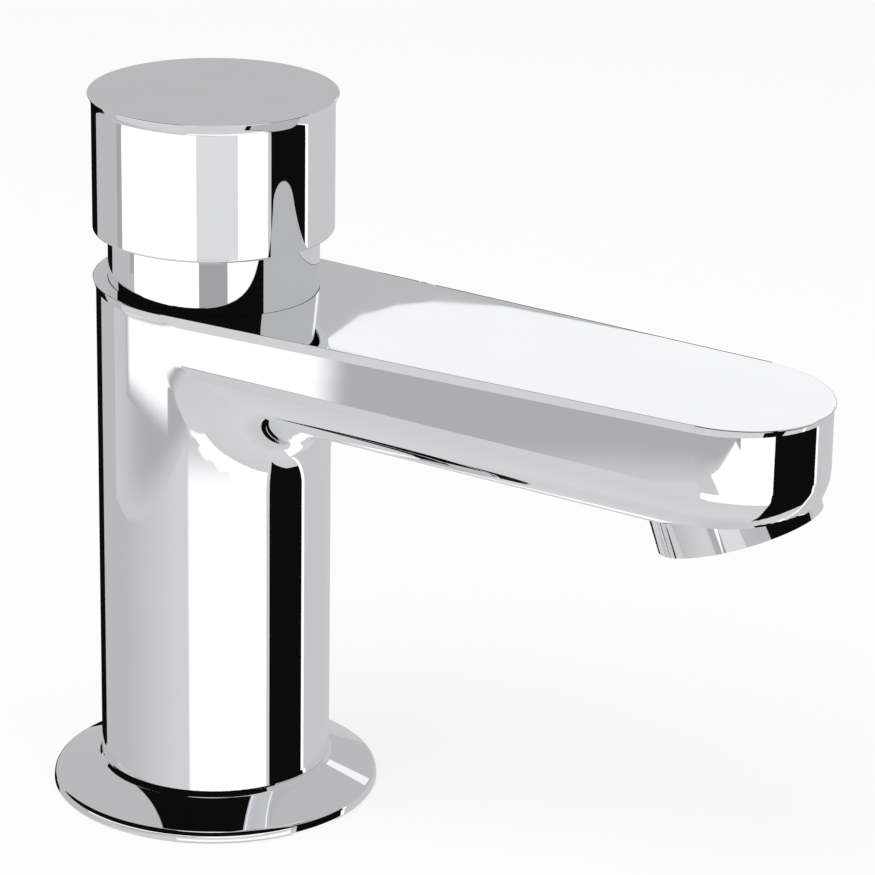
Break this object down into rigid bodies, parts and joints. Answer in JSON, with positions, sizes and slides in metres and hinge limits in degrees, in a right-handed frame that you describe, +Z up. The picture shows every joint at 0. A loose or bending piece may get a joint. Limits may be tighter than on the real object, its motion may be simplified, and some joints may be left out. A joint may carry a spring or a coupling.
{
  "type": "push timed tap",
  "caption": "Self-closing basin pillar tap: pressing the round cap opens the water, and a spring-driven timing cartridge closes it again",
  "frame": {"origin": "centre of the flange's underside, on the deck that the tap stands on", "axes": "+Z up along the pillar, +X towards the user along the spout, +Y to the left of someone looking along +X"},
  "size_m": [0.1468, 0.0598, 0.1937],
  "materials": {
    "polished_chrome": "mirror polished",
    "raw_brass": "machined",
    "stainless_steel": "turned",
    "black_rubber": "matt",
    "white_acetal": "satin",
    "grey_plastic": "satin"
  },
  "bodies": {
    "tap": {"tap_body": "polished_chrome", "base_flange": "polished_chrome", "base_seal": "black_rubber", "threaded_shank": "raw_brass", "rubber_washer": "black_rubber", "clamp_washer": "stainless_steel", "back_nut": "raw_brass", "neck_collar": "polished_chrome", "cartridge_housing": "raw_brass", "housing_o_ring": "black_rubber", "valve_seat": "raw_brass", "cartridge_cage": "white_acetal", "cage_o_ring": "black_rubber", "inlet_strainer": "grey_plastic", "guide_bush": "raw_brass", "stem_seal": "black_rubber", "seal_retainer": "stainless_steel", "aerator_housing": "polished_chrome", "aerator_insert": "grey_plastic", "aerator_screen": "stainless_steel", "aerator_washer": "black_rubber", "return_spring": "stainless_steel"},
    "push_assembly": {"push_cap": "polished_chrome", "cap_carrier": "white_acetal", "cap_grub_screw": "stainless_steel", "carrier_screw": "stainless_steel", "plunger_stem": "stainless_steel", "timing_piston": "white_acetal", "piston_lip_seal": "black_rubber", "timing_jet": "raw_brass", "piston_circlip": "stainless_steel", "valve_washer": "black_rubber", "valve_disc": "raw_brass", "valve_nut": "stainless_steel"}
  },
  "joints": [
    {"name": "cap_push", "type": "slide", "parent": "tap", "child": "push_assembly", "axis": [0, 0, 1], "range_m": [-0.006, 0], "stiffness_N_per_m": 1200, "springref_m": 0.01, "deforming": ["return_spring"]}
  ]
}
